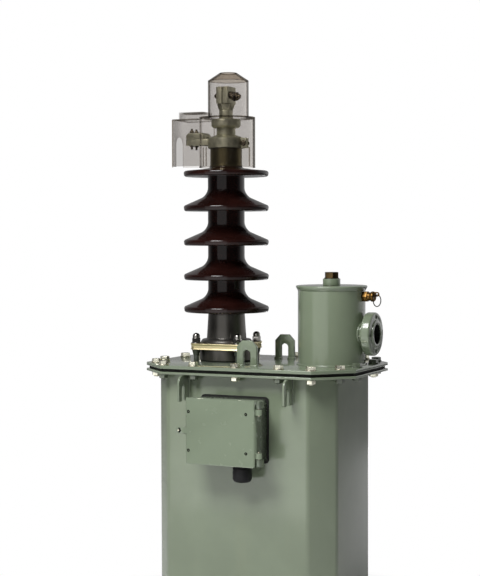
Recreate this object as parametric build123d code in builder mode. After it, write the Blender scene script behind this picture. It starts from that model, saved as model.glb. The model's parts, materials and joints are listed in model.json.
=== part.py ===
"""Combined instrument transformer for a power plant, in millimetres.

Origin: on the floor under the centre of the tank. +X to the right along the tank's front,
+Y to the back, +Z up. The front carries the terminal box.
"""
import os
from math import cos, radians, sin

from build123d import *

# Levels above the floor
FOOT_H = 60.0
BOTTOM_TOP = 64.0
FLANGE_LOW = 580.5
FLANGE_TOP = 586.0
GASKET_TOP = 592.5
COVER_TOP = 600.0

# Cover, flange and tank in plan
COVER_W, COVER_D, COVER_C = 508.0, 353.0, 73.0
SIDE_X, LEFT_X = 210.0, 214.5
FRONT_Y = 149.0
WALL = 4.0
LEFT_CUT, RIGHT_CUT = 37.0, 50.0

# Axes of the bushing and of the turret
BUSH_X = -101.0
TURRET_X = 158.0


def tank_outline(inset):
    """Corner points of the tank in plan, moved in from its outer face."""
    x, y, left = SIDE_X - inset, FRONT_Y - inset, inset - LEFT_X
    a, b = LEFT_CUT - 0.586 * inset, RIGHT_CUT - 0.586 * inset
    return [(left + a, -y), (x - b, -y), (x, -y + b), (x, y - b), (x - b, y), (left + a, y),
            (left, y - a), (left, -y + a)]


def cover_outline(inset):
    """Width, depth and corner cut of the cover's octagon, moved in from its edge."""
    return COVER_W - 2 * inset, COVER_D - 2 * inset, COVER_C - 0.586 * inset


# Tank wall, bent from sheet, open at both ends
with BuildPart() as tank_wall:
    with BuildSketch(Plane.XY.offset(BOTTOM_TOP)):
        Polygon(*tank_outline(0), align=None)
        Polygon(*tank_outline(WALL), align=None, mode=Mode.SUBTRACT)
    extrude(amount=FLANGE_LOW - BOTTOM_TOP)

# Floor of the tank, standing a little proud of the wall for its weld
with BuildPart() as tank_bottom:
    with BuildSketch(Plane.XY.offset(FOOT_H)):
        Polygon(*tank_outline(-4), align=None)
    extrude(amount=BOTTOM_TOP - FOOT_H)

# Flange round the tank's mouth
with BuildPart() as tank_flange:
    with BuildSketch(Plane.XY.offset(FLANGE_LOW)) as flange_plan:
        width, depth, cut = cover_outline(0)
        Rectangle(width, depth)
        chamfer(flange_plan.vertices(), cut)
        Polygon(*tank_outline(WALL), align=None, mode=Mode.SUBTRACT)
    extrude(amount=FLANGE_TOP - FLANGE_LOW)

# Flat gasket, set back from the edge of the joint
with BuildPart() as cover_gasket:
    with BuildSketch(Plane.XY.offset(FLANGE_TOP)) as gasket_plan:
        width, depth, cut = cover_outline(6)
        Rectangle(width, depth)
        chamfer(gasket_plan.vertices(), cut)
        Polygon(*tank_outline(WALL), align=None, mode=Mode.SUBTRACT)
    extrude(amount=GASKET_TOP - FLANGE_TOP)

# Cover plate
with BuildPart() as cover_plate:
    with BuildSketch(Plane.XY.offset(GASKET_TOP)) as cover_plan:
        width, depth, cut = cover_outline(0)
        Rectangle(width, depth)
        chamfer(cover_plan.vertices(), cut)
    extrude(amount=COVER_TOP - GASKET_TOP)

# Two channel feet under the tank, their open sides outwards, with bolt holes
FOOT_LENGTH, FOOT_HOLE_X, FOOT_HOLE_Y = 400.0, 170.0, 120.0
feet = []
for side in (-1, 1):
    with BuildPart() as foot:
        with BuildSketch(Plane.YZ.offset(-FOOT_LENGTH / 2)):
            with Locations((side * 118, FOOT_H / 2)):
                Rectangle(50, FOOT_H)
            with Locations((side * 121, FOOT_H / 2)):
                Rectangle(44, FOOT_H - 12, mode=Mode.SUBTRACT)
        extrude(amount=FOOT_LENGTH)
        with BuildSketch(Plane.XY):
            with Locations((-FOOT_HOLE_X, side * FOOT_HOLE_Y), (FOOT_HOLE_X, side * FOOT_HOLE_Y)):
                Circle(7)
        extrude(amount=10, mode=Mode.SUBTRACT)
    feet.append(foot)

# Four slotted hooks on the tank, square to its front and back, in a row under the flange
HOOK_T, HOOK_REACH, HOOK_LOW, HOOK_SLOT, HOOK_LEG = 5.0, 50.0, 524.0, 13.0, 15.0
hooks = []
for x in (-124, 126):
    for side in (-1, 1):
        with BuildPart() as hook:
            with BuildSketch(Plane.YZ.offset(x - HOOK_T / 2)) as hook_plan:
                root, tip = side * FRONT_Y, side * (FRONT_Y + HOOK_REACH)
                Polygon((root, HOOK_LOW), (tip, HOOK_LOW), (tip, FLANGE_LOW), (root, FLANGE_LOW), align=None)
                fillet([v for v in hook_plan.vertices() if abs(v.X) > FRONT_Y + 9 and v.Y > HOOK_LOW + 9], 17)
                middle = side * (FRONT_Y + HOOK_REACH - HOOK_LEG - HOOK_SLOT / 2)
                slot_top = FLANGE_LOW - 22 - HOOK_SLOT / 2
                with Locations((middle, (HOOK_LOW + slot_top) / 2)):
                    Rectangle(HOOK_SLOT, slot_top - HOOK_LOW, mode=Mode.SUBTRACT)
                with Locations((middle, slot_top)):
                    Circle(HOOK_SLOT / 2, mode=Mode.SUBTRACT)
                fillet([v for v in hook_plan.vertices() if v.Y < HOOK_LOW + 1 and abs(v.X) > FRONT_Y + 1], 3)
            extrude(amount=HOOK_T)
        hooks.append(hook)

# Two lifting lugs on the cover, parallel to its front
LUG_T, LUG_W, LUG_H, LUG_SLOT, LUG_Y = 8.0, 48.0, 56.0, 17.6, 106.0
lugs = []
for side in (-1, 1):
    with BuildPart() as lug:
        with BuildSketch(Plane.XZ.offset(-side * LUG_Y - LUG_T / 2)):
            Polygon((-LUG_W / 2, COVER_TOP), (LUG_W / 2, COVER_TOP), (LUG_W / 2, COVER_TOP + LUG_H - 14),
                    (11, COVER_TOP + LUG_H), (-11, COVER_TOP + LUG_H),
                    (-LUG_W / 2, COVER_TOP + LUG_H - 14), align=None)
            with Locations((0, COVER_TOP + 13)):
                Rectangle(LUG_SLOT, 26, mode=Mode.SUBTRACT)
            with Locations((0, COVER_TOP + 26)):
                Circle(LUG_SLOT / 2, mode=Mode.SUBTRACT)
        extrude(amount=LUG_T)
    lugs.append(lug)

# Bushing: gasket, porcelain with five sheds, clamp ring on four posts
with BuildPart() as bushing_gasket:
    with BuildSketch(Plane.XY.offset(COVER_TOP)):
        with Locations((BUSH_X, 0)):
            Circle(60)
            Circle(40, mode=Mode.SUBTRACT)
    extrude(amount=3)

SHED_R = 97.0
SHED_LEVELS = (718.0, 792.0, 870.5, 949.0)
TOP_SHED = 1028.0
with BuildPart() as bushing_porcelain:
    with BuildSketch(Plane.XZ.offset(0)) as shed_profile:
        with Locations((21, 842)):
            Rectangle(42, 384)
        with Locations((31, 615.5)):
            Rectangle(62, 25)
        Polygon((0, 628), (59, 628), (59, 645), (55, 650), (45, 650), (42, 706), (0, 706), align=None)
        for level in SHED_LEVELS:
            Polygon((0, level + 34), (42, level + 34), (42, level + 30), (SHED_R, level + 6),
                    (SHED_R - 2, level - 6.5), (42, level - 3), (0, level - 3), align=None)
        Polygon((0, 1060), (36.3, 1060), (45, 1045), (62, 1040), (SHED_R, 1034.5), (SHED_R - 2, TOP_SHED - 6.5),
                (42, TOP_SHED - 3), (0, TOP_SHED - 3), align=None)
        with Locations((18.15, 1075)):
            Rectangle(36.3, 34)
        rims = [v for v in shed_profile.vertices() if v.X > SHED_R - 4]
        fillet(rims, 5.2)
    revolve(axis=Axis.Z)
bushing_porcelain.part = bushing_porcelain.part.moved(Location((BUSH_X, 0, 0)))

POST = 52.0
with BuildPart() as clamp_ring:
    with BuildSketch(Plane.XY.offset(628)):
        with Locations((BUSH_X, 0)):
            RectangleRounded(2 * POST + 26, 2 * POST + 26, 13)
            Circle(59.5, mode=Mode.SUBTRACT)
    extrude(amount=14)
    fillet(clamp_ring.faces().sort_by(Axis.Z)[-1].outer_wire().edges(), 2)

BOTTOM = (Align.CENTER, Align.CENTER, Align.MIN)
with BuildPart() as clamp_studs:
    with Locations((BUSH_X, 0, COVER_TOP)):
        with GridLocations(2 * POST, 2 * POST, 2, 2):
            Cylinder(6, 15, align=BOTTOM)
with BuildPart() as clamp_cones:
    with Locations((BUSH_X, 0, COVER_TOP + 15)):
        with GridLocations(2 * POST, 2 * POST, 2, 2):
            Cone(7, 10, 13, align=BOTTOM)

# Head of the bushing: collar, side terminal, neck, disc, stem and top terminal
with BuildPart() as head_collar:
    with BuildSketch(Plane.XZ):
        Polygon((0, 1094), (36.5, 1094), (36.5, 1086), (40.5, 1086), (42, 1087.5), (42, 1108), (40, 1110.5),
                (24, 1116), (0, 1116), align=None)
    revolve(axis=Axis.Z)
    with Locations((46, 0, 1097.5)):
        Box(14, 16, 23)
    with Locations((48, 0, 1097.5)):
        Box(12, 3, 28, mode=Mode.SUBTRACT)
head_collar.part = head_collar.part.moved(Location((BUSH_X, 0, 0)))

CABLE_R, CABLE_Z = 5.0, 1108.5
with BuildPart() as side_terminal_base:
    with Locations((BUSH_X - 64.25, 0, 1094)):
        Box(56.5, 40, 14.2, align=BOTTOM)
    with Locations((BUSH_X, 0, 1100)):
        Cylinder(42, 40, mode=Mode.SUBTRACT)
    with Locations((BUSH_X - 76, 0, CABLE_Z)):
        Cylinder(CABLE_R, 56, rotation=(0, 90, 0), mode=Mode.SUBTRACT)
with BuildPart() as side_terminal_cap:
    with Locations((BUSH_X - 70.25, 0, 1108.8)):
        Box(44.5, 40, 14.2, align=BOTTOM)
    chamfer(side_terminal_cap.faces().sort_by(Axis.Z)[-1].edges().filter_by(Axis.Y), 6)
    with Locations((BUSH_X - 74, 0, CABLE_Z)):
        Cylinder(CABLE_R, 60, rotation=(0, 90, 0), mode=Mode.SUBTRACT)
    chamfer(side_terminal_cap.faces().sort_by(Axis.Z)[-1].edges().filter_by(Axis.X), 1.5)

with BuildPart() as head_neck:
    with Locations((BUSH_X, 0, 1116)):
        Cylinder(21.6, 17, align=BOTTOM)
with BuildPart() as head_disc:
    with BuildSketch(Plane.XZ):
        Polygon((0, 1133), (29, 1133), (33.5, 1138), (33.5, 1151), (31.5, 1153), (0, 1153), align=None)
    revolve(axis=Axis.Z)
head_disc.part = head_disc.part.moved(Location((BUSH_X, 0, 0)))

# Stem with a waist, spreading from round to square under the clamp
with BuildPart() as head_stem:
    with BuildSketch(Plane.XZ):
        Polygon((0, 1153), (15.3, 1153), (15.3, 1168), (13.8, 1170.5), (13.8, 1176), (0, 1176), align=None)
    revolve(axis=Axis.Z)
    with BuildSketch(Plane.XY.offset(1176)):
        Circle(13.8)
    with BuildSketch(Plane.XY.offset(1187)):
        RectangleRounded(30, 40, 4)
    loft()
head_stem.part = head_stem.part.moved(Location((BUSH_X, 0, 0)))
jaws = []
for side in (-1, 1):
    with BuildPart() as jaw:
        with Locations((BUSH_X + side * 7.75, 0, 1187)):
            Box(14.5, 56, 39, align=BOTTOM)
        chamfer(jaw.edges().filter_by(Axis.Z), 2)
        with Locations((BUSH_X, 0, 1187)):
            Cylinder(CABLE_R, 100, mode=Mode.SUBTRACT)
    jaws.append(jaw)

# Clear cover over the head: a hood with an arched cable slot, and a cap with an open top
HOOD_T = 2.5
HOOD_X, CAP_X, CAP_R = BUSH_X + 3, BUSH_X + 6, 46.5
SLOT_R, SLOT_ARCH = 18.5, 1096.5
with BuildPart() as head_hood:
    for inset, mode in ((0, Mode.ADD), (HOOD_T, Mode.SUBTRACT)):
        with Locations((HOOD_X, 0, 1042)):
            Cylinder(64 - inset, 115 - inset, align=BOTTOM, mode=mode)
        with BuildSketch(Plane.XY.offset(1046)):
            with Locations((BUSH_X - 60.5, 0)):
                RectangleRounded(121 - 2 * inset, 78 - 2 * inset, 6 - inset)
        extrude(amount=108 - inset, mode=mode)
        with BuildSketch(Plane.XY.offset(1100)):
            with Locations((BUSH_X - 78, 0)):
                RectangleRounded(64 - 2 * inset, 50 - 2 * inset, 5 - inset)
        extrude(amount=70 - inset, mode=mode)
    with Locations((CAP_X, 0, 1157)):
        Cylinder(CAP_R - HOOD_T, 12, mode=Mode.SUBTRACT)
    with BuildSketch(Plane.YZ.offset(BUSH_X - 125)):
        with Locations((0, (SLOT_ARCH + 1039) / 2)):
            Rectangle(2 * SLOT_R, SLOT_ARCH - 1039)
        with Locations((0, SLOT_ARCH)):
            Circle(SLOT_R)
    extrude(amount=20, mode=Mode.SUBTRACT)

with BuildPart() as head_cap:
    with BuildSketch(Plane.XZ):
        Polygon((CAP_R - HOOD_T, 1157), (CAP_R, 1157), (CAP_R, 1240), (19.5, 1258), (17, 1258), (17, 1256.6),
                (CAP_R - HOOD_T, 1238.6), align=None)
    revolve(axis=Axis.Z)
head_cap.part = head_cap.part.moved(Location((CAP_X, 0, 0)))

# Turret with its lid, boss, plug, side outlet and relief valve
TURRET_R, OUTLET_Z, VALVE_Z = 75.0, 670.0, 752.5
with BuildPart() as turret_shell:
    with Locations((TURRET_X, 0, COVER_TOP)):
        Cylinder(TURRET_R, 164.5, align=(Align.CENTER, Align.CENTER, Align.MIN))
        Cylinder(TURRET_R - WALL, 164.5, align=(Align.CENTER, Align.CENTER, Align.MIN), mode=Mode.SUBTRACT)
    with Locations((TURRET_X + TURRET_R, 0, OUTLET_Z)):
        Cylinder(22, 30, rotation=(0, 90, 0), mode=Mode.SUBTRACT)

with BuildPart() as turret_lid:
    with BuildSketch(Plane.XZ):
        Polygon((0, 764.5), (75, 764.5), (79.5, 773), (79.5, 774.5), (78, 776), (0, 776), align=None)
        with Locations((5, 772)):
            Rectangle(10, 20, mode=Mode.SUBTRACT)
    revolve(axis=Axis.Z)
turret_lid.part = turret_lid.part.moved(Location((TURRET_X, 0, 0)))

with BuildPart() as turret_boss:
    with Locations((TURRET_X, 0, 776)):
        Cylinder(19.5, 15, align=(Align.CENTER, Align.CENTER, Align.MIN))
        Cylinder(10, 15, align=(Align.CENTER, Align.CENTER, Align.MIN), mode=Mode.SUBTRACT)

with BuildPart() as filler_plug:
    with Locations((TURRET_X, 0, 776)):
        Cylinder(9.8, 15, align=(Align.CENTER, Align.CENTER, Align.MIN))
    with Locations((TURRET_X, 0, 791)):
        Cylinder(16.5, 2, align=(Align.CENTER, Align.CENTER, Align.MIN))
    with BuildSketch(Plane.XY.offset(793)):
        with Locations((TURRET_X, 0)):
            RegularPolygon(16.1, 6)
    extrude(amount=12.5)

OUTLET_BORE, OUTLET_BACK, OUTLET_FRONT, OUTLET_FACE = 22.0, 242.0, 263.0, 266.0
with BuildPart() as outlet_neck:
    with Locations((230, 0, OUTLET_Z)):
        Cylinder(25.2, 24, rotation=(0, 90, 0))
    with Locations((TURRET_X, 0, OUTLET_Z)):
        Cylinder(TURRET_R, 80, mode=Mode.SUBTRACT)
    with Locations((230, 0, OUTLET_Z)):
        Cylinder(OUTLET_BORE, 40, rotation=(0, 90, 0), mode=Mode.SUBTRACT)

# Thick flange with rounded rims, a raised face and four bolt holes
with BuildPart() as outlet_flange:
    with BuildSketch(Plane.YZ.offset(OUTLET_BACK)):
        with Locations((0, OUTLET_Z)):
            Circle(47.8)
    extrude(amount=OUTLET_FRONT - OUTLET_BACK)
    fillet(outlet_flange.edges().filter_by(GeomType.CIRCLE), 4)
    with BuildSketch(Plane.YZ.offset(OUTLET_FRONT)):
        with Locations((0, OUTLET_Z)):
            Circle(31)
    extrude(amount=OUTLET_FACE - OUTLET_FRONT)
    with BuildSketch(Plane.YZ.offset(OUTLET_BACK)):
        with Locations((0, OUTLET_Z)):
            Circle(OUTLET_BORE)
            with PolarLocations(38, 4):
                Circle(5)
    extrude(amount=OUTLET_FACE - OUTLET_BACK, mode=Mode.SUBTRACT)

# Relief valve: hexagon, body, turned knob, and a thin drilled tang that the pull ring hangs in
EYE_X, EYE_Z, EYE_R = 265.0, VALVE_Z + 5, 2.6
RING_R, WIRE_R, RING_TURN = 12.8, 1.1, 70.0
with BuildPart() as relief_valve:
    with BuildSketch(Plane.YZ.offset(228)):
        with Locations((0, VALVE_Z)):
            RegularPolygon(12.6, 6)
    extrude(amount=16)
    with Locations((TURRET_X, 0, VALVE_Z)):
        Cylinder(TURRET_R, 60, mode=Mode.SUBTRACT)
    with BuildSketch(Plane.XZ):
        Polygon(*[(x, VALVE_Z + r) for x, r in ((243, 0), (243, 9.3), (250.5, 9.3), (252, 10.8), (253.5, 11.5),
                                                (257.5, 11.3), (260, 9.2), (261.4, 6), (261.8, 0))], align=None)
    revolve(axis=Axis((0, 0, VALVE_Z), (1, 0, 0)))
    with BuildSketch(Plane.XZ.offset(-1.5)):
        with Locations((EYE_X, EYE_Z)):
            Circle(5.2)
        with Locations((EYE_X - 5, EYE_Z)):
            Rectangle(10, 10.4)
        with Locations((EYE_X, EYE_Z)):
            Circle(EYE_R, mode=Mode.SUBTRACT)
    extrude(amount=3)

with BuildPart() as pull_ring:
    with BuildSketch(Plane.XZ):
        with Locations((RING_R, 0)):
            Circle(WIRE_R)
    revolve(axis=Axis.Z)
pull_ring.part = pull_ring.part.rotate(Axis.X, 90).rotate(Axis.Z, RING_TURN).moved(
    Location((EYE_X, 0, EYE_Z - 1 - RING_R)))

# Terminal box: gasket, body with hinge blocks, lid with hinge tabs and a screw ear
BOX_FRONT, LID_FRONT = -214.7, -227.0
HINGE_X, HINGE_Y = 78.5, -219.0
PIN_R, LID_BEVEL = 2.5, 2.0
with BuildPart() as box_gasket:
    with BuildSketch(Plane.XZ.offset(FRONT_Y)):
        with Locations((-10.5, 465.5)):
            RectangleRounded(163, 145, 9)
    extrude(amount=3)

with BuildPart() as terminal_box:
    with BuildSketch(Plane.XZ.offset(152)):
        with Locations((-10.5, 465.5)):
            RectangleRounded(155, 137, 8)
    extrude(amount=-BOX_FRONT - 152)
    with BuildSketch(Plane.XZ.offset(157)):
        with Locations((-10.5, 465.5)):
            RectangleRounded(145, 127, 5)
    extrude(amount=70, mode=Mode.SUBTRACT)
    with BuildSketch(Plane.XZ.offset(190)):
        with Locations((-97.5, 466)):
            Circle(7)
        with Locations((-92, 466)):
            Rectangle(9, 14)
    extrude(amount=-BOX_FRONT - 190)
    for low in (397, 521):
        with BuildSketch(Plane.XY.offset(low)):
            Polygon((66.5, -213.5), (72.5, -213.5), (72.5, -219), (84.5, -219), (84.5, -207),
                    (74, -198), (66.5, -198), align=None)
            with Locations((HINGE_X, HINGE_Y)):
                Circle(6)
                Circle(PIN_R, mode=Mode.SUBTRACT)
        extrude(amount=15)
    with Locations((25, -188, 400)):
        Cylinder(12, 20, mode=Mode.SUBTRACT)

with BuildPart() as box_lid:
    with BuildSketch(Plane.XZ.offset(215)):
        with Locations((-10.5, 466)):
            RectangleRounded(163, 144, 3.5)
        with Locations((-97.5, 466)):
            Circle(7.5)
        with Locations((-92, 466)):
            Rectangle(11, 15)
    extrude(amount=12)
    chamfer(box_lid.faces().sort_by(Axis.Y)[0].outer_wire().edges(), LID_BEVEL)
    with BuildSketch(Plane.XZ.offset(215)):
        with Locations((-10.5, 466)):
            RectangleRounded(145, 127, 5)
    extrude(amount=7, mode=Mode.SUBTRACT)
    for low in (413.5, 506.5):
        with BuildSketch(Plane.XY.offset(low)):
            with Locations((74, HINGE_Y)):
                Rectangle(9, 7)
            with Locations((HINGE_X, HINGE_Y)):
                Circle(6)
                Circle(PIN_R + 0.08, mode=Mode.SUBTRACT)
        extrude(amount=12.5)

with BuildPart() as hinge_pins:
    with Locations((HINGE_X, HINGE_Y, 397), (HINGE_X, HINGE_Y, 504.5)):
        Cylinder(PIN_R, 31.5, align=(Align.CENTER, Align.CENTER, Align.MIN))

with BuildPart() as terminal_board:
    with Locations((-10.5, -160, 472)):
        Box(110, 6, 60)
with BuildPart() as terminal_studs:
    with BuildSketch(Plane.XZ.offset(163)):
        with Locations((-10.5, 472)):
            with GridLocations(22, 30, 5, 2):
                Circle(3)
    extrude(amount=18)

with BuildPart() as cable_gland:
    with BuildSketch(Plane.XY.offset(397)):
        with Locations((25, -188)):
            RegularPolygon(20, 6)
            Circle(9, mode=Mode.SUBTRACT)
    extrude(amount=-10)
    with BuildSketch(Plane.XY.offset(397)):
        with Locations((25, -188)):
            Circle(11.9)
            Circle(9, mode=Mode.SUBTRACT)
    extrude(amount=8)
with BuildPart() as gland_nut:
    with BuildSketch(Plane.XZ):
        Polygon((9, 387), (21, 387), (21, 364), (19.5, 359.5), (16.5, 357), (13, 356), (9, 356), align=None)
    revolve(axis=Axis.Z)
gland_nut.part = gland_nut.part.moved(Location((25, -188, 0)))

NODES = {
    "tank_wall": tank_wall, "tank_bottom": tank_bottom, "tank_flange": tank_flange,
    "cover_gasket": cover_gasket, "cover_plate": cover_plate,
    "foot_front": feet[0], "foot_back": feet[1],
    "hook_front_left": hooks[0], "hook_back_left": hooks[1],
    "hook_front_right": hooks[2], "hook_back_right": hooks[3],
    "lifting_lug_front": lugs[0], "lifting_lug_back": lugs[1],
    "bushing_gasket": bushing_gasket, "bushing_porcelain": bushing_porcelain,
    "clamp_ring": clamp_ring, "clamp_studs": clamp_studs, "clamp_cones": clamp_cones,
    "head_collar": head_collar, "side_terminal_base": side_terminal_base,
    "side_terminal_cap": side_terminal_cap, "head_neck": head_neck, "head_disc": head_disc,
    "head_stem": head_stem, "top_jaw_left": jaws[0], "top_jaw_right": jaws[1],
    "head_hood": head_hood, "head_cap": head_cap,
    "turret_shell": turret_shell, "turret_lid": turret_lid, "turret_boss": turret_boss,
    "filler_plug": filler_plug, "outlet_neck": outlet_neck, "outlet_flange": outlet_flange,
    "relief_valve": relief_valve, "pull_ring": pull_ring,
    "box_gasket": box_gasket, "terminal_box": terminal_box, "box_lid": box_lid,
    "hinge_pins": hinge_pins, "terminal_board": terminal_board, "terminal_studs": terminal_studs,
    "cable_gland": cable_gland, "gland_nut": gland_nut,
}
os.makedirs("parts", exist_ok=True)
for label, node in NODES.items():
    node.part.label = label
    export_step(node.part, f"parts/{label}.step")
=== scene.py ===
"""Looks for a combined instrument transformer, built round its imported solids."""
import json
import random
from collections import namedtuple
from math import cos, pi, radians, sin, tan

import bmesh
import bpy
from mathutils import Matrix, Vector


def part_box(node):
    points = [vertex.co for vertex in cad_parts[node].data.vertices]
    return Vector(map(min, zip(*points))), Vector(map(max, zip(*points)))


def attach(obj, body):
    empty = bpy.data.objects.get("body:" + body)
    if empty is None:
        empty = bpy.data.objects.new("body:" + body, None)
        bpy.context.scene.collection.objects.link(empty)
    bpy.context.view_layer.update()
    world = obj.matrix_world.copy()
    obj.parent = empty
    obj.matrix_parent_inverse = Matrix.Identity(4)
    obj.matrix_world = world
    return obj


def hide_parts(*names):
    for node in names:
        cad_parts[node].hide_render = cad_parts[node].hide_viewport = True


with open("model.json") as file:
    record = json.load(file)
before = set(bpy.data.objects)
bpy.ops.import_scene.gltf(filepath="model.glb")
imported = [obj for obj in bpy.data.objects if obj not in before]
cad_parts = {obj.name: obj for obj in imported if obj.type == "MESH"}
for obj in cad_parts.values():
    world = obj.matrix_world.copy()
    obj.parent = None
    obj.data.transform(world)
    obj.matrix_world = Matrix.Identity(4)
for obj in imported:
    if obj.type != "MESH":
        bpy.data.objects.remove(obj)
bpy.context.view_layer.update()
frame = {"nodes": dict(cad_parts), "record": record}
NODES = frame["nodes"]
SLOTS = {row["node"]: row["material_slot"] for row in frame["record"]["subparts"]}

bl_info = {
    "name": "Combined Instrument Transformer",
    "version": (1, 0, 0),
    "blender": (4, 5, 0),
    "location": "3D View > Sidebar > Transformer",
    "description": "Dresses an oil-filled instrument transformer with its finishes, fasteners and welds",
    "category": "Object",
}

# Shapes are written in millimetres and scaled as they are placed
MM = 0.001


def extent(node):
    """Lowest and highest corners of a solid, in millimetres."""
    low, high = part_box(node)
    return low / MM, high / MM


def middle(node):
    """Centre of a solid's box, in millimetres."""
    low, high = extent(node)
    return (low + high) / 2


# Levels and places read from the solids
COVER_TOP = extent("cover_plate")[1].z
FLANGE_LOW = extent("tank_flange")[0].z
BUSH = middle("bushing_porcelain")
BUSH_LOW = extent("bushing_porcelain")[0].z
RING_TOP = extent("clamp_ring")[1].z
TURRET = middle("turret_shell")
HOOD_TOP = extent("head_hood")[1].z
LID_FRONT = extent("box_lid")[0].y

# Places that tell like solids apart
SIDES = ("front", "back")
CORNERS = ("front_left", "back_left", "front_right", "back_right")

# Cover bolts, from the tank's centre; right-hand heads darkened as painted shade; nuts painted over
BOLT_PLACES = [(x, y) for x in (-178, -104, -2, 100, 175) for y in (-165, 165)]
BOLT_PLACES += [(x, y) for y in (-115, 115) for x in (-222, 222)]
BOLT_PLACES += [(x, y) for x in (-234, 238) for y in (-52, 52)]
SHADED_HEADS = {(238, -52), (238, 52), (222, 115)}
PAINTED_NUTS = {(-178, -165), (-104, -165), (100, -165), (222, -115), (238, -52), (-2, 165), (175, 165),
                (-234, 52), (222, 115)}
HEAD_WASHER_T, NUT_WASHER_T = 2.4, 1.6
THREAD_R, THREAD_PITCH = 5.8, 1.75

# Porcelain: radius of its core and neck, levels of the four lower sheds and of the top one
CORE_R, NECK_R = 42, 36.3
SHED_LEVELS = (718, 792, 870.5, 949)
TOP_SHED = 1028

# Half the spacing of the clamp ring's posts, and the groove round its rim
POST = 52
GROOVE_SHOULDER, GROOVE_DEPTH = 3.2, 1.6

# Level of the bolt through the collar's ear. Bolts of the side terminal, from the bushing's axis
EAR_Z = 1097
SIDE_BOLT_X, SIDE_BOLT_Y = 81.5, 12

# Lid of the terminal box: its four screws, and the captive screw in an ear set back from its front
LID_SCREWS = ((-85, 508), (51.5, 508), (-85.5, 424), (51.5, 424))
CAPTIVE_X, CAPTIVE_Z, EAR_SETBACK = -110, 466, 4.4

# Edges whose faces meet at more than this many degrees are eased
SHARP = 30

# Directions
UP, DOWN, LEFT, RIGHT = (0, 0, 1), (0, 0, -1), (-1, 0, 0), (1, 0, 0)
FRONT, BACK = (0, -1, 0), (0, 1, 0)

# Levels where a finish changes, in metres: the satin foot's top, the metal neck and the cap's cone
SATIN_TOP = 0.708
NECK_LOW = 1.042
CONE_LOW = 1.24


# Settings

class PaintSettings(bpy.types.PropertyGroup):
    """Colours and gloss of the enamel"""
    green: bpy.props.FloatVectorProperty(
        name="Enamel", description="Colour of the enamel on the tank and turret", subtype="COLOR",
        default=(0.236, 0.288, 0.198), min=0, max=1)
    casting: bpy.props.FloatVectorProperty(
        name="Casting enamel", description="Colour of the enamel on the terminal box", subtype="COLOR",
        default=(0.234, 0.288, 0.204), min=0, max=1)
    roughness: bpy.props.FloatProperty(
        name="Roughness", description="Roughness of the enamel under its gloss", default=0.18,
        min=0, max=1, subtype="FACTOR")
    orange_peel: bpy.props.FloatProperty(
        name="Orange peel", description="Depth of the fine ripple that spraying leaves",
        default=0.00012, min=0, max=0.001, unit="LENGTH", precision=5)


class PorcelainSettings(bpy.types.PropertyGroup):
    """Glaze of the bushing"""
    glaze: bpy.props.FloatVectorProperty(
        name="Glaze", description="Colour of the dark brown glaze", subtype="COLOR",
        default=(0.012, 0.0036, 0.0028), min=0, max=1)
    corner: bpy.props.FloatProperty(
        name="Corner", description="Radius where a shed meets the core, in millimetres",
        default=26.0, min=1, max=40)
    shed: bpy.props.FloatProperty(
        name="Shed", description="Radius of the sheds, in millimetres", default=98.0, min=80, max=110)


class FastenerSettings(bpy.types.PropertyGroup):
    """Sizes of the bolts, nuts and washers, in millimetres"""
    across_flats: bpy.props.FloatProperty(
        name="Across flats", description="Width of a cover bolt's hexagon", default=18.4, min=5, max=40)
    head_height: bpy.props.FloatProperty(
        name="Head height", description="Height of a cover bolt's head", default=7.2, min=2, max=20)
    nut_height: bpy.props.FloatProperty(
        name="Nut height", description="Height of a cover bolt's nut", default=7.5, min=2, max=20)
    washer: bpy.props.FloatProperty(
        name="Washer", description="Outer radius of a cover bolt's washer", default=12.0, min=5, max=25)
    zinc: bpy.props.FloatVectorProperty(
        name="Zinc", description="Colour of the zinc plating", subtype="COLOR",
        default=(0.88, 0.84, 0.66), min=0, max=1)


class HeadSettings(bpy.types.PropertyGroup):
    """Finishes of the terminals and of their clear cover"""
    tinned: bpy.props.FloatVectorProperty(
        name="Tinned metal", description="Colour of the terminals", subtype="COLOR",
        default=(0.73, 0.71, 0.53), min=0, max=1)
    clear: bpy.props.FloatVectorProperty(
        name="Clear plastic", description="What the cover lets through face on", subtype="COLOR",
        default=(0.84, 0.829, 0.818), min=0, max=1)
    clear_edge: bpy.props.FloatVectorProperty(
        name="Clear plastic edge", description="What the cover lets through edge on", subtype="COLOR",
        default=(0.2, 0.18, 0.155), min=0, max=1)


class StageSettings(bpy.types.PropertyGroup):
    """Camera and light"""
    lens: bpy.props.FloatProperty(
        name="Lens", description="Focal length on a 36 mm wide sensor", default=111.094, min=10, max=400)
    camera_place: bpy.props.FloatVectorProperty(
        name="Camera", description="Place of the camera", subtype="TRANSLATION", unit="LENGTH",
        default=(1.362014, -3.070714, 0.895077))
    camera_turn: bpy.props.FloatVectorProperty(
        name="Camera turn", description="Pitch, roll and heading of the camera", subtype="EULER",
        unit="ROTATION", default=(radians(87.835), radians(0.152), radians(24.946)))
    key_power: bpy.props.FloatProperty(
        name="Key light", description="Power of the main light", default=114, min=0, unit="POWER")
    back_power: bpy.props.FloatProperty(
        name="Back light", description="Power of the light behind", default=45, min=0, unit="POWER")
    card_power: bpy.props.FloatProperty(
        name="Card", description="Power of the card that glossy paint mirrors", default=2.1, min=0,
        unit="POWER")


# Shader steps

def new_finish(name):
    """An empty node material, and its tree."""
    finish = bpy.data.materials.new(name)
    finish.use_nodes = True
    finish.node_tree.nodes.clear()
    return finish, finish.node_tree


def feed(tree, entry, value):
    """Join a socket to an input, or give the input a value."""
    if isinstance(value, bpy.types.NodeSocket):
        tree.links.new(value, entry)
    else:
        entry.default_value = value


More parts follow.
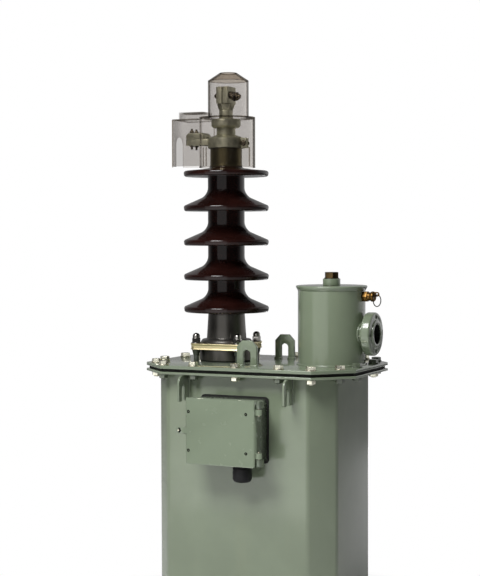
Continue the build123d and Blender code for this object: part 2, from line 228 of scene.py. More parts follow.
def put(tree, kind, joins=None, **values):
    """Add a node, set its attributes and inputs by name, then feed inputs by name or number."""
    step = tree.nodes.new(kind)
    for key, value in values.items():
        if hasattr(step, key):
            setattr(step, key, value)
        else:
            feed(tree, step.inputs[key.replace("_", " ")], value)
    for key, value in (joins or {}).items():
        feed(tree, step.inputs[key], value)
    return step


def calculate(tree, operation, first, second):
    """Work out a number from two sockets or numbers."""
    return put(tree, "ShaderNodeMath", {0: first, 1: second}, operation=operation).outputs["Value"]


def mix_colors(tree, factor, first, second, mode="MIX"):
    """Mix two colours or sockets by a factor or socket."""
    first, second = ((*value, 1) if isinstance(value, tuple) else value for value in (first, second))
    return put(tree, "ShaderNodeMix", {0: factor, 6: first, 7: second}, data_type="RGBA",
               blend_type=mode).outputs[2]


def mix_shaders(tree, share, first, second):
    """Mix two shaders by a socket."""
    return put(tree, "ShaderNodeMixShader", {0: share, 1: first, 2: second}).outputs["Shader"]


def ramp(tree, socket, low, high, start=0.0, end=1.0):
    """Turn a socket's range of low to high into start to end, smoothly."""
    return put(tree, "ShaderNodeMapRange", {"Value": socket}, interpolation_type="SMOOTHSTEP",
               From_Min=low, From_Max=high, To_Min=start, To_Max=end).outputs["Result"]


def own_place(tree):
    """The piece's own coordinates, in metres."""
    return put(tree, "ShaderNodeTexCoord").outputs["Object"]


def own_axes(tree):
    """The piece's own coordinates as X, Y and Z."""
    return put(tree, "ShaderNodeSeparateXYZ", {"Vector": own_place(tree)}).outputs


def noise(tree, scale, detail, stretch=(1, 1, 1)):
    """Noise in the piece's own coordinates, in metres."""
    turn = put(tree, "ShaderNodeMapping", {"Vector": own_place(tree)}, Scale=stretch)
    return put(tree, "ShaderNodeTexNoise", {"Vector": turn.outputs["Vector"]}, Scale=scale,
               Detail=detail).outputs["Fac"]


def shelter(tree, distance):
    """How open the surface is to its surroundings."""
    return put(tree, "ShaderNodeAmbientOcclusion", Distance=distance, samples=6).outputs["AO"]


def edges_out(tree):
    """How far the surface stands out: over a half at an outer edge."""
    return put(tree, "ShaderNodeNewGeometry").outputs["Pointiness"]


def bumps(tree, layers):
    """Stack bump layers of height socket, distance in metres and strength."""
    joins = {}
    for height, distance, strength in layers:
        joins["Height"] = height
        step = put(tree, "ShaderNodeBump", joins, Distance=distance, Strength=strength)
        joins = {"Normal": step.outputs["Normal"]}
    return joins["Normal"]


def shade(tree, color, roughness, normal, **values):
    """Join the main shader to the output."""
    joins = {"Base Color": color, "Roughness": roughness, "Normal": normal}
    shader = put(tree, "ShaderNodeBsdfPrincipled", joins, **values)
    put(tree, "ShaderNodeOutputMaterial", {"Surface": shader.outputs["BSDF"]})


def tint(color, *amounts):
    """A colour times one amount, or times one for each of its parts."""
    if len(amounts) == 1:
        amounts *= 3
    return tuple(max(0.0, min(1.0, part * amount)) for part, amount in zip(color, amounts))


# Finishes

# How enamel differs on sheet and on castings: how far its clouds, runs and specks show, the height of its
# waves, the scale and strength of its orange peel, its pits, how its roughness varies, and its top coat
Enamel = namedtuple("Enamel", "clouds runs specks waves peel_scale peel_strength pits spread top_coat")
SHEET = Enamel(0.06, 0.32, 0.35, 0.004, 330, 0.5, 0, 0.07, 0.11)
CAST = Enamel(0.03, 0.1, 0.1, 0.002, 500, 0.2, 0.15, 0.04, 0.16)


def enamel(name, color, roughness, peel, kind=SHEET):
    """Gloss enamel: cloudy colour, dust that has run down, painted shade in hollows, orange peel and a
    little edge wear.
    """
    finish, tree = new_finish(name)
    clouds = mix_colors(tree, ramp(tree, noise(tree, 7, 4), 0.35, 0.65), tint(color, 1 - kind.clouds),
                        tint(color, 1 + kind.clouds))
    runs = ramp(tree, noise(tree, 22, 5, (1, 1, 0.12)), 0.52, 0.78, 0.0, kind.runs)
    dusty = mix_colors(tree, runs, clouds, tint(color, 1.16, 1.1, 1.05))
    specks = ramp(tree, noise(tree, 260, 2), 0.72, 0.78, 0.0, kind.specks)
    specked = mix_colors(tree, specks, dusty, tint(color, 0.62))
    # Painted shade: darker where the surface is sheltered, in hollows and at joints
    hollow_shade = mix_colors(tree, ramp(tree, shelter(tree, 0.014), 0.25, 0.9, 0.55, 0.0), specked,
                       tint(color, 0.5, 0.5, 0.45))
    worn = mix_colors(tree, ramp(tree, edges_out(tree), 0.53, 0.60, 0.0, 0.3), hollow_shade,
                      tint(color, 1.35, 1.3, 1.3))
    layers = [(noise(tree, 9, 2), kind.waves, 0.12),
              (noise(tree, kind.peel_scale, 2), peel, kind.peel_strength)]
    if kind.pits:
        layers.append((noise(tree, 210, 2), 0.00002, kind.pits))
    rough = ramp(tree, noise(tree, 40, 4), 0.3, 0.7, roughness - 0.03, roughness + kind.spread)
    shade(tree, worn, rough, bumps(tree, layers), Coat_Weight=0.9, Coat_Roughness=kind.top_coat,
          Specular_IOR_Level=0.5)
    return finish


def glaze(name, color):
    """Glazed porcelain, nearly black and paler where it is thin, with a satin foot and a metal neck."""
    finish, tree = new_finish(name)
    clouds = mix_colors(tree, ramp(tree, noise(tree, 16, 3), 0.35, 0.7), color, tint(color, 1.9))
    thin = mix_colors(tree, ramp(tree, edges_out(tree), 0.52, 0.62, 0.0, 0.7), clouds,
                      (0.035, 0.018, 0.012))
    height = own_axes(tree)["Z"]
    foot = ramp(tree, height, SATIN_TOP + 0.004, SATIN_TOP - 0.004)
    neck = ramp(tree, height, NECK_LOW, NECK_LOW + 0.006)
    footed = mix_colors(tree, foot, thin, (0.12, 0.114, 0.104))
    topped = mix_colors(tree, neck, footed, (0.2, 0.165, 0.085))
    satin = calculate(tree, "MAXIMUM", foot, neck)
    gloss = ramp(tree, noise(tree, 60, 4), 0.3, 0.7, 0.08, 0.15)
    rough = calculate(tree, "ADD", gloss, calculate(tree, "MULTIPLY", satin, 0.2))
    normal = bumps(tree, [(noise(tree, 30, 2), 0.0009, 0.25), (noise(tree, 420, 2), 0.00005, 0.3)])
    shade(tree, topped, rough, normal, Specular_IOR_Level=0.36,
          Metallic=calculate(tree, "MULTIPLY", satin, 0.85))
    return finish


def metal(name, color, roughness, dark=0.5, grain=420, coarse=45, metallic=1.0, relief=0.00004, spots=0.5):
    """Worn metal: cloudy tarnish, painted shade in hollows, fine grain and bright rubbed edges."""
    finish, tree = new_finish(name)
    tarnish = ramp(tree, noise(tree, coarse, 5), 0.42, 0.72, 0.0, spots)
    base = mix_colors(tree, tarnish, color, tint(color, dark))
    # Painted shade: darker where the surface is sheltered, in hollows
    hollow_shade = mix_colors(tree, ramp(tree, shelter(tree, 0.006), 0.3, 0.95, 0.6, 0.0), base, tint(color, 0.25))
    rubbed = mix_colors(tree, ramp(tree, edges_out(tree), 0.53, 0.62, 0.0, 0.5), hollow_shade, tint(color, 1.3))
    rough = ramp(tree, noise(tree, grain / 3, 2), 0.3, 0.7, roughness - 0.05, roughness + 0.06)
    shade(tree, rubbed, rough, bumps(tree, [(noise(tree, grain, 3), relief, 0.5)]), Metallic=metallic)
    return finish


def rubber(name, color, roughness, grain=500, depth=0.00008, dusty=0.02):
    """Matt rubber or moulded plastic with a fine grain and a little dust."""
    finish, tree = new_finish(name)
    dust = ramp(tree, noise(tree, 70, 4), 0.5, 0.8, 0.0, 0.4)
    base = mix_colors(tree, dust, color, (color[0] + dusty, color[1] + dusty, color[2] + dusty * 0.9))
    rough = ramp(tree, noise(tree, 120, 3), 0.3, 0.7, roughness - 0.06, roughness + 0.08)
    shade(tree, base, rough, bumps(tree, [(noise(tree, grain, 3), depth, 0.5)]), Specular_IOR_Level=0.35)
    return finish


def clear_plastic(name, through, through_edge, front=1.0, back=1.0):
    """Smoky clear plastic that darkens edge on, and lets less through in front and more at the back."""
    finish, tree = new_finish(name)
    wave = bumps(tree, [(noise(tree, 25, 2), 0.0008, 0.12)])
    turned_away = put(tree, "ShaderNodeLayerWeight", {"Normal": wave}, Blend=0.5).outputs["Facing"]
    haze = mix_colors(tree, ramp(tree, noise(tree, 14, 4, (1, 1, 0.3)), 0.4, 0.7), through,
                      tint(through, 0.97))
    axes = own_axes(tree)
    # Lets less through in front, and more than reaches it at the back
    front_dark_back_bright = mix_colors(tree, ramp(tree, axes["Y"], 0.025, -0.025), (back,) * 3, (front,) * 3)
    cone = mix_colors(tree, ramp(tree, axes["Z"], CONE_LOW - 0.001, CONE_LOW + 0.001), (1, 1, 1),
                      (0.88, 0.85, 0.81))
    haze = mix_colors(tree, 1.0, mix_colors(tree, 1.0, haze, front_dark_back_bright, "MULTIPLY"), cone, "MULTIPLY")
    shown = mix_colors(tree, ramp(tree, turned_away, 0.6, 0.88), haze, through_edge)
    see = put(tree, "ShaderNodeBsdfTransparent", {"Color": shown})
    skin = put(tree, "ShaderNodeBsdfPrincipled", {"Normal": wave}, Roughness=0.12,
               Base_Color=(0.3, 0.28, 0.27, 1))
    mirror = put(tree, "ShaderNodeFresnel", {"Normal": wave}, IOR=1.42)
    gloss = ramp(tree, mirror.outputs["Fac"], 0.0, 1.0, 0.015, 0.6)
    inside = put(tree, "ShaderNodeNewGeometry").outputs["Backfacing"]
    share = put(tree, "ShaderNodeMix", {0: inside, 2: gloss, 3: 0.0}, data_type="FLOAT").outputs[0]
    both = mix_shaders(tree, share, see.outputs["BSDF"], skin.outputs["BSDF"])
    put(tree, "ShaderNodeOutputMaterial", {"Surface": both})
    return finish


FINISHES = {}


def mix_finishes(scene):
    """Make every finish from the settings, keyed by the record's slots and by names of its own."""
    paint, head, bolts = scene.unit_paint, scene.unit_head, scene.unit_bolts
    green, casting, peel = tuple(paint.green), tuple(paint.casting), paint.orange_peel
    cast_roughness = paint.roughness + 0.06
    FINISHES.update({
        "green_paint": enamel("green_enamel", green, paint.roughness, peel),
        # Dark green for nuts that were painted over, and for right-hand bolt heads as painted shade
        "overpaint_and_shade_steel": enamel("overpaint_and_shade_fastener", tint(green, 0.5), 0.3, peel),
        # A much darker green for the clamp's studs and cones
        "dark_stud_green": enamel("dark_stud_green_enamel", (0.045, 0.055, 0.042), 0.4, peel),
        "green_casting": enamel("green_casting_enamel", casting, cast_roughness, peel, CAST),
        # The box body's enamel at two thirds of the casting colour: painted shade; the lid keeps the full
        # colour
        "shaded_box_green": enamel("box_casting_shaded_enamel", tint(casting, 0.66), cast_roughness, peel, CAST),
        "porcelain": glaze("brown_glaze", tuple(scene.unit_porcelain.glaze)),
        "brass": metal("cast_brass", (0.88, 0.76, 0.45), 0.32, dark=0.7, grain=160, coarse=9, metallic=0.9,
                       relief=0.00001, spots=0.2),
        "valve_brass": metal("valve_brass", (0.16, 0.088, 0.026), 0.36, dark=0.3, coarse=80),
        "bronze": metal("dark_bronze", (0.075, 0.05, 0.022), 0.38, dark=0.45, grain=380, coarse=60),
        "tinned_metal": metal("tinned_metal", tuple(head.tinned), 0.38, dark=0.45, coarse=60, metallic=0.7,
                              relief=0.0001, spots=0.7),
        "zinc_steel": metal("zinc_plate", tuple(bolts.zinc), 0.22, dark=0.45, grain=500, coarse=60,
                            metallic=0.9),
        "cap_nut_steel": metal("cap_nut_plate", (0.5, 0.48, 0.45), 0.14, dark=0.3, grain=500, coarse=60),
        "terminal_steel": metal("terminal_bolt_steel", (0.2, 0.165, 0.12), 0.3, grain=500, coarse=60),
        "ring_wire": metal("ring_wire_steel", (0.05, 0.042, 0.035), 0.4, grain=500, coarse=60),
        "blackened_steel": metal("blackened_steel", (0.02, 0.02, 0.018), 0.45, grain=400, coarse=60),
        "dark_steel": metal("dark_cast_steel", (0.09, 0.095, 0.09), 0.5, grain=240, coarse=60,
                            relief=0.00015),
        "gasket_rubber": rubber("gasket_rubber", (0.008, 0.008, 0.007), 0.7),
        # Near-black lining for the outlet's bore: painted shade
        "shaded_bore": rubber("bore_shade_lining", (0.006, 0.009, 0.007), 0.55),
        "black_plastic": rubber("black_plastic", (0.004, 0.0042, 0.005), 0.46, 700, 0.00006, 0.003),
        "board_resin": rubber("board_resin", (0.06, 0.03, 0.015), 0.5, 300, 0.00005),
        "smoky_plastic": clear_plastic("smoky_clear_plastic", tuple(head.clear), tuple(head.clear_edge),
                                       0.88, 1.09),
        "smoky_edge": clear_plastic("smoky_plastic_edge", (0.66, 0.63, 0.59), (0.3, 0.28, 0.25)),
    })


# Shaping steps

def finish_piece(bm, name, body, slot, finish=None, smooth=38, instead_of=()):
    """Turn a shape drawn in millimetres into a piece that rides on a body."""
    bmesh.ops.scale(bm, vec=(MM, MM, MM), verts=bm.verts)
    mesh = bpy.data.meshes.new(name)
    bm.to_mesh(mesh)
    bm.free()
    for face in mesh.polygons:
        face.use_smooth = True
    mesh.set_sharp_from_angle(angle=radians(smooth))
    mesh.materials.append(FINISHES[finish or slot])
    piece = bpy.data.objects.new(name, mesh)
    bpy.context.scene.collection.objects.link(piece)
    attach(piece, body)
    if instead_of:
        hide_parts(*instead_of)


def bevel(bm, edges, offset, segments=2):
    """Round edges off."""
    bmesh.ops.bevel(bm, geom=edges, offset=offset, segments=segments, profile=0.5, affect="EDGES",
                    clamp_overlap=True, material=-1)


def sharp_edges(bm, angle=SHARP):
    """Edges whose two faces meet at more than an angle in degrees."""
    return [edge for edge in bm.edges
            if len(edge.link_faces) == 2 and edge.calc_face_angle() > radians(angle)]


def eased(node, width, segments=2, bends=0):
    """A solid's own shape with its doubles merged, its flats joined, and its bends and edges eased."""
    bm = bmesh.new()
    bm.from_mesh(NODES[node].data)
    bmesh.ops.scale(bm, vec=(1 / MM,) * 3, verts=bm.verts)
    bmesh.ops.remove_doubles(bm, verts=bm.verts, dist=0.002)
    bmesh.ops.dissolve_limit(bm, angle_limit=radians(0.6), verts=bm.verts, edges=bm.edges)
    if bends:
        upright = [edge for edge in sharp_edges(bm) if abs(edge.verts[0].co.z - edge.verts[1].co.z) > 100]
        bevel(bm, upright, bends, 5)
    if width:
        bevel(bm, sharp_edges(bm), width, segments)
    return bm


def ease_node(node, name, width, segments=2, bends=0, finish=None, smooth=38, body="housing"):
    """Stand an eased copy of a solid in for it."""
    bm = eased(node, width, segments, bends)
    finish_piece(bm, name, body, SLOTS[node], finish, smooth, (node,))


def add(bm, part, matrix=None):
    """Join a part to a shape, placed by a matrix."""
    if matrix:
        bmesh.ops.transform(part, matrix=matrix, verts=part.verts)
    mesh = bpy.data.meshes.new("part")
    part.to_mesh(mesh)
    part.free()
    bm.from_mesh(mesh)
    bpy.data.meshes.remove(mesh)


def facing(direction, at, spin=0.0):
    """A matrix that stands a shape along a direction, at a point."""
    tilt = Vector(UP).rotation_difference(Vector(direction)).to_matrix().to_4x4()
    return Matrix.Translation(at) @ tilt @ Matrix.Rotation(spin, 4, "Z")


def block(size, at, ease, segments=2, turn=0.0):
    """A box with eased edges, centred on a point and turned about its upright axis."""
    bm = bmesh.new()
    place = Matrix.Translation(at) @ Matrix.Rotation(turn, 4, "Z") @ Matrix.Diagonal((*size, 1))
    bmesh.ops.create_cube(bm, size=1, matrix=place)
    bevel(bm, bm.edges[:], ease, segments)
    return bm


def hex_bar(low, high, start, end):
    """A hexagonal bar, from a corner radius at its low end to one at its high end."""
    bm = bmesh.new()
    bmesh.ops.create_cone(bm, cap_ends=True, segments=6, radius1=start, radius2=end, depth=high - low,
                          matrix=Matrix.Translation((0, 0, (low + high) / 2)))
    return bm


def turned(corners, steps, segments=4):
    """Spin a profile of radius, height and corner radius round the Z axis into a closed form."""
    bm = bmesh.new()
    spots = [Vector((radius, 0, height)) for radius, height, _ in corners]
    dots = [bm.verts.new(spot) for spot in spots]
    for pair in zip(dots, dots[1:]):
        bm.edges.new(pair)
    for i in range(1, len(corners) - 1):
        if corners[i][2]:
            turn = (spots[i] - spots[i - 1]).angle(spots[i + 1] - spots[i])
            bmesh.ops.bevel(bm, geom=[dots[i]], offset=corners[i][2] * tan(turn / 2), segments=segments,
                            profile=0.5, affect="VERTICES", clamp_overlap=True, material=-1)
    bmesh.ops.spin(bm, geom=bm.verts[:] + bm.edges[:], cent=(0, 0, 0), axis=UP, angle=2 * pi,
                   steps=steps, use_merge=True)
    bmesh.ops.remove_doubles(bm, verts=bm.verts, dist=0.001)
    bmesh.ops.recalc_face_normals(bm, faces=bm.faces)
    return bm


def ring(inner, outer, low, high, steps, ease=0):
    """A flat ring with eased rims."""
    return turned([(inner, low, 0), (outer, low, ease), (outer, high, ease), (inner, high, ease),
                   (inner, low, 0)], steps)


def thread(low, high):
    """A bolt's threaded end, with a chamfered tip at its lower end."""
    corners = [(0, low, 0), (THREAD_R - 1.2, low, 0), (THREAD_R - 0.2, low + 1, 0)]
    height = low + 1
    while height + THREAD_PITCH < high:
        corners += [(THREAD_R, height + THREAD_PITCH * 0.4, 0),
                    (THREAD_R - 0.9, height + THREAD_PITCH * 0.9, 0)]
        height += THREAD_PITCH
    corners += [(THREAD_R, high, 0), (0, high, 0)]
    return turned(corners, 20)


def bolt_head(flats, height, washer, dome=0.0):
    """A hexagon on a washer of radius and thickness, standing on Z = 0, with or without a dome."""
    bm = bmesh.new()
    outer, rise = washer
    add(bm, ring(flats * 0.3, outer, 0, rise, 28, 0.4))
    corner = flats / 2 / cos(pi / 6)
    top = rise + height
    nut = hex_bar(rise, top, corner, corner)
    bevel(nut, [edge for edge in nut.edges if min(vert.co.z for vert in edge.verts) > top - 0.001], 1.1)
    add(bm, nut)
    if dome:
        base = top - 0.5
        add(bm, turned([(0, base, 0), (dome, base, 0), (dome, base + dome * 1.2, dome * 0.8),
                        (dome * 0.2, base + dome * 1.45, 0), (0, base + dome * 1.45, 0)], 28))
    return bm


def terminal_nut(flats, height, washer, end):
    """A nut on its washer, with the end of its bolt standing out."""
    bm = bolt_head(flats, height, washer)
    if end:
        radius, reach = flats * 0.29, washer[1] + height
        add(bm, turned([(0, reach - 1, 0), (radius, reach - 1, 0), (radius, reach + end, 0.8),
                        (0, reach + end, 0)], 16))
    return bm


def weld(points, radius, name, seed, closed=True):
    """A rippled weld bead along a path of points, in millimetres."""
    draw = random.Random(seed)
    path = []
    for start, end in zip(points, points[1:] + points[:1] if closed else points[1:]):
        start, end = Vector(start), Vector(end)
        count = max(1, round((end - start).length / 3.2))
        path += [start.lerp(end, i / count) for i in range(count)]
    if not closed:
        path.append(Vector(points[-1]))
    bm = bmesh.new()
    loops = []
    for i, point in enumerate(path):
        after = path[(i + 1) % len(path)] if closed or i + 1 < len(path) else point
        before = path[i - 1] if closed or i else point
        swell = radius * (1 + 0.16 * (i % 2) + draw.uniform(-0.08, 0.08))
        if not closed and i in (0, len(path) - 1):
            swell *= 0.45
        made = bmesh.ops.create_circle(bm, cap_ends=False, radius=swell, segments=8,
                                       matrix=facing(after - before, point))
        loops.append(list({edge for vert in made["verts"] for edge in vert.link_edges}))
    for first, second in zip(loops, loops[1:] + loops[:1] if closed else loops[1:]):
        bmesh.ops.bridge_loops(bm, edges=first + second)
    if not closed:
        for loop in (loops[0], loops[-1]):
            bmesh.ops.contextual_create(bm, geom=loop)
    bmesh.ops.recalc_face_normals(bm, faces=bm.faces)
    finish_piece(bm, name, "housing", "green_paint", smooth=80)


def circle_points(at, radius, count, axis="Z"):
    """Points round a circle about an axis."""
    turns = [2 * pi * i / count for i in range(count)]
    if axis == "X":
        return [(at[0], at[1] + radius * cos(turn), at[2] + radius * sin(turn)) for turn in turns]
    return [(at[0] + radius * cos(turn), at[1] + radius * sin(turn), at[2]) for turn in turns]


# Pieces

class TRANSFORMER_OT_finishes(bpy.types.Operator):
    """Mix the finishes and put them on every solid"""
    bl_idname = "transformer.finishes"
    bl_label = "Finishes"

    def execute(self, context):
        mix_finishes(context.scene)
        for node, slot in SLOTS.items():
            materials = NODES[node].data.materials
            materials.clear()
            materials.append(FINISHES[slot])
        return {"FINISHED"}


class TRANSFORMER_OT_tank(bpy.types.Operator):
    """Tank with bent corners, its flange, gasket, cover, floor and feet, edges eased"""
    bl_idname = "transformer.tank"
    bl_label = "Tank"

    def execute(self, context):
        ease_node("tank_wall", "tank_sheet", 0, bends=7)
        ease_node("tank_flange", "tank_rim", 0.9)
        ease_node("cover_plate", "cover_sheet", 1.3, 3)
        ease_node("cover_gasket", "cover_seal", 0.8)
        ease_node("tank_bottom", "tank_floor", 0.8)
        for place in SIDES:
            ease_node(f"foot_{place}", f"foot_channel_{place}", 1.2)
        return {"FINISHED"}


class TRANSFORMER_OT_carriers(bpy.types.Operator):
    """Hooks under the flange and lifting lugs on the cover, edges eased"""
    bl_idname = "transformer.carriers"
    bl_label = "Hooks and lugs"

    def execute(self, context):
        for place in CORNERS:
            ease_node(f"hook_{place}", f"hook_plate_{place}", 0.7)
        for place in SIDES:
            ease_node(f"lifting_lug_{place}", f"lug_plate_{place}", 0.9)
        return {"FINISHED"}


class TRANSFORMER_OT_welds(bpy.types.Operator):
    """Weld beads at the turret, outlet, lugs and hooks"""
    bl_idname = "transformer.welds"
    bl_label = "Welds"

    def execute(self, context):
        low, high = extent("turret_shell")
        radius = (high.x - low.x) / 2
        weld(circle_points((TURRET.x, 0, COVER_TOP + 1.2), radius + 0.6, 90), 2.6, "weld_turret", 3)
        low, high = extent("outlet_neck")
        neck = circle_points((0, 0, middle("outlet_neck").z), (high.z - low.z) / 2 + 0.8, 54, "X")
        weld([(TURRET.x + (radius ** 2 - y ** 2) ** 0.5, y, z) for _, y, z in neck], 2.4, "weld_outlet", 5)
        for place in SIDES:
            low, high = extent(f"lifting_lug_{place}")
            front, back, z = low.y - 0.8, high.y + 0.8, COVER_TOP + 0.8
            for leg, left, right in (("left", low.x, -9.5), ("right", 9.5, high.x)):
                corners = [(left, front, z), (right, front, z), (right, back, z), (left, back, z)]
                weld(corners, 2.2, f"weld_lug_{place}_{leg}", 7)
        for place in CORNERS:
            low, high = extent(f"hook_{place}")
            y = high.y - 0.8 if "front" in place else low.y + 0.8
            for edge, x in (("a", low.x), ("b", high.x)):
                weld([(x, y, low.z + 1), (x, y, high.z - 1)], 1.9, f"weld_hook_{place}_{edge}", 11,
                     closed=False)
        return {"FINISHED"}


class TRANSFORMER_OT_cover_bolts(bpy.types.Operator):
    """Bolts round the cover, with washers and nuts under the flange"""
    bl_idname = "transformer.cover_bolts"
    bl_label = "Cover bolts"

    def execute(self, context):
        sizes = context.scene.unit_bolts
        head_washer, nut_washer = (sizes.washer, HEAD_WASHER_T), (sizes.washer * 0.9, NUT_WASHER_T)
        draw = random.Random(4)
        shapes = {(kind, painted): bmesh.new() for kind in ("heads", "nuts") for painted in (False, True)}
        for x, y in BOLT_PLACES:
            heads = shapes["heads", (x, y) in SHADED_HEADS]
            nuts = shapes["nuts", (x, y) in PAINTED_NUTS]
            head_spin, nut_spin = -draw.uniform(0.02, 0.3), -draw.uniform(0.05, 0.4)
            add(heads, bolt_head(sizes.across_flats, sizes.head_height, head_washer),
                facing(UP, (x, y, COVER_TOP), head_spin))
            add(nuts, bolt_head(sizes.across_flats, sizes.nut_height, nut_washer),
                facing(DOWN, (x, y, FLANGE_LOW), nut_spin))
            top = FLANGE_LOW - sizes.nut_height
            low = top - NUT_WASHER_T - 1.5 - draw.uniform(0, 1.2)
            add(nuts, thread(low, top), Matrix.Translation((x, y, 0)))
        # The dark finish goes on painted-over nuts, and on the right-hand heads as painted shade
        for (kind, painted), shape in shapes.items():
            if painted:
                finish_piece(shape, f"cover_bolt_{kind}_painted", "housing", "green_paint",
                             finish="overpaint_and_shade_steel", smooth=32)
            else:
                finish_piece(shape, f"cover_bolt_{kind}", "housing", "zinc_steel", smooth=32)
        return {"FINISHED"}


def shed_corners(level, radius, rise):
    """A shed's underside and rim, from the core outwards."""
    return [(CORE_R, level - 2.5, 3), (radius - 2, level - 6.5, 5), (radius, level + rise, 5.4)]


class TRANSFORMER_OT_porcelain(bpy.types.Operator):
    """Glazed porcelain with its foot, five sheds and neck"""
    bl_idname = "transformer.porcelain"
    bl_label = "Porcelain"

    def execute(self, context):
        sizes = context.scene.unit_porcelain
        foot = BUSH_LOW
        outline = [(0, foot, 0), (62, foot, 1), (62, foot + 25, 1.5), (59, foot + 25, 0), (59, foot + 42, 3),
                   (55, foot + 47, 2), (45.5, foot + 47, 4), (CORE_R, foot + 103, 0)]
        for level in SHED_LEVELS:
            outline += shed_corners(level, sizes.shed, 6) + [(CORE_R, level + 30.5, sizes.corner)]
        outline += shed_corners(TOP_SHED, sizes.shed, 6.5)
        outline += [(60, TOP_SHED + 10, 20), (CORE_R, TOP_SHED + 13, 4), (NECK_R + 1.2, TOP_SHED + 15, 2),
                    (NECK_R, TOP_SHED + 22, 2), (NECK_R, TOP_SHED + 64, 1), (0, TOP_SHED + 64, 0)]
        body = turned(outline, 96, 7)
        bmesh.ops.translate(body, vec=(BUSH.x, BUSH.y, 0), verts=body.verts)
        finish_piece(body, "porcelain_glazed", "housing", "porcelain", smooth=60,
                     instead_of=("bushing_porcelain",))
        return {"FINISHED"}


class TRANSFORMER_OT_clamp(bpy.types.Operator):
    """Clamp ring with a grooved rim, its studs, cones and domed nuts"""
    bl_idname = "transformer.clamp"
    bl_label = "Clamp ring"

    def execute(self, context):
        cast = eased("clamp_ring", 0)
        cast.normal_update()
        centre = Vector((BUSH.x, 0, RING_TOP))
        rim = [face for face in cast.faces if abs(face.normal.z) < 0.05
               and face.normal.dot(face.calc_center_median() - centre) > 0]
        bmesh.ops.inset_region(cast, faces=rim, thickness=GROOVE_SHOULDER, depth=-GROOVE_DEPTH,
                               use_boundary=True, use_even_offset=True)
        bevel(cast, sharp_edges(cast, 25), 1.2, 3)
        finish_piece(cast, "clamp_ring_cast", "housing", "brass", smooth=31, instead_of=("clamp_ring",))
        ease_node("clamp_cones", "clamp_cones_cast", 0.5, finish="dark_stud_green")
        ease_node("clamp_studs", "clamp_studs_painted", 0.5, finish="dark_stud_green")
        nuts = bmesh.new()
        draw = random.Random(8)
        for x in (-POST, POST):
            for y in (-POST, POST):
                add(nuts, bolt_head(17, 10, (11.5, 1.8), dome=8.3),
                    facing(UP, (BUSH.x + x, y, RING_TOP), draw.uniform(0, pi / 3)))
        finish_piece(nuts, "clamp_cap_nuts", "housing", "zinc_steel", finish="cap_nut_steel", smooth=32)
        return {"FINISHED"}


class TRANSFORMER_OT_head(bpy.types.Operator):
    """Terminals on top of the bushing"""
    bl_idname = "transformer.head"
    bl_label = "Terminals"

    def execute(self, context):
        for node, width in (("head_collar", 0.8), ("side_terminal_base", 0.9), ("side_terminal_cap", 0.9),
                            ("head_neck", 0), ("head_disc", 0.6)):
            ease_node(node, f"{node}_tinned", width, smooth=35)
        low, high = extent("head_stem")
        stem = bmesh.new()
        turn = Matrix.Translation((BUSH.x, 0, 0)) @ Matrix.Rotation(radians(-5), 4, "Z")
        for bottom, top, start, end in ((low.z, low.z + 20, 16.2, 15.6), (low.z + 19.5, high.z, 15.6, 21)):
            bar = hex_bar(bottom, top, start, end)
            bevel(bar, bar.edges[:], 0.8)
            add(stem, bar, turn)
        finish_piece(stem, "head_stem_tinned", "housing", "tinned_metal", smooth=25,
                     instead_of=("head_stem",))
        for node in ("top_jaw_left", "top_jaw_right"):
            low, high = extent(node)
            size, at = (high.x - low.x, 43, high.z - low.z), middle(node)
            jaw = block(size, (at.x, 0, at.z), 1.6, 3)
            finish_piece(jaw, f"{node}_tinned", "housing", "tinned_metal", smooth=35, instead_of=(node,))
        return {"FINISHED"}


class TRANSFORMER_OT_terminal_bolts(bpy.types.Operator):
    """Bolts and nuts of the two terminals and of the collar"""
    bl_idname = "transformer.terminal_bolts"
    bl_label = "Terminal bolts"

    def execute(self, context):
        left, right = extent("top_jaw_left")[0].x, extent("top_jaw_right")[1].x
        ear = extent("head_collar")[1].x - 5
        # Each nut's place, direction, width across flats, height, washer, length of bolt and turn
        rows = [((right, -9, 1207), RIGHT, 13, 6, (8, 1.8), 1.5, 0.4),
                ((right, 12, 1205), RIGHT, 17, 9, (10.5, 1.8), 5, 0.4),
                ((left, -13, 1205), LEFT, 10, 4, (7, 1.4), 2, 0.1),
                ((left, 8, 1203), LEFT, 10, 4, (7, 1.4), 2, 0.1),
                ((ear, -8, EAR_Z), FRONT, 10, 5, (6.5, 1.2), 0, 0.2),
                ((ear, 8, EAR_Z), BACK, 10, 5, (6.5, 1.2), 3, 0.4)]
        x = BUSH.x - SIDE_BOLT_X
        under, top = extent("side_terminal_base")[0].z, extent("side_terminal_cap")[1].z
        for y in (-SIDE_BOLT_Y, SIDE_BOLT_Y):
            rows += [((x, y, top), UP, 8.6, 4.4, (5.2, 1), 4.4, 0.3 + y),
                     ((x, y, under), DOWN, 8.6, 1.4, (5, 1), 6.5, y)]
        bolts = bmesh.new()
        for at, direction, flats, height, washer, end, spin in rows:
            add(bolts, terminal_nut(flats, height, washer, end), facing(direction, at, spin))
        finish_piece(bolts, "terminal_bolts", "housing", "tinned_metal", finish="terminal_steel", smooth=32)
        return {"FINISHED"}


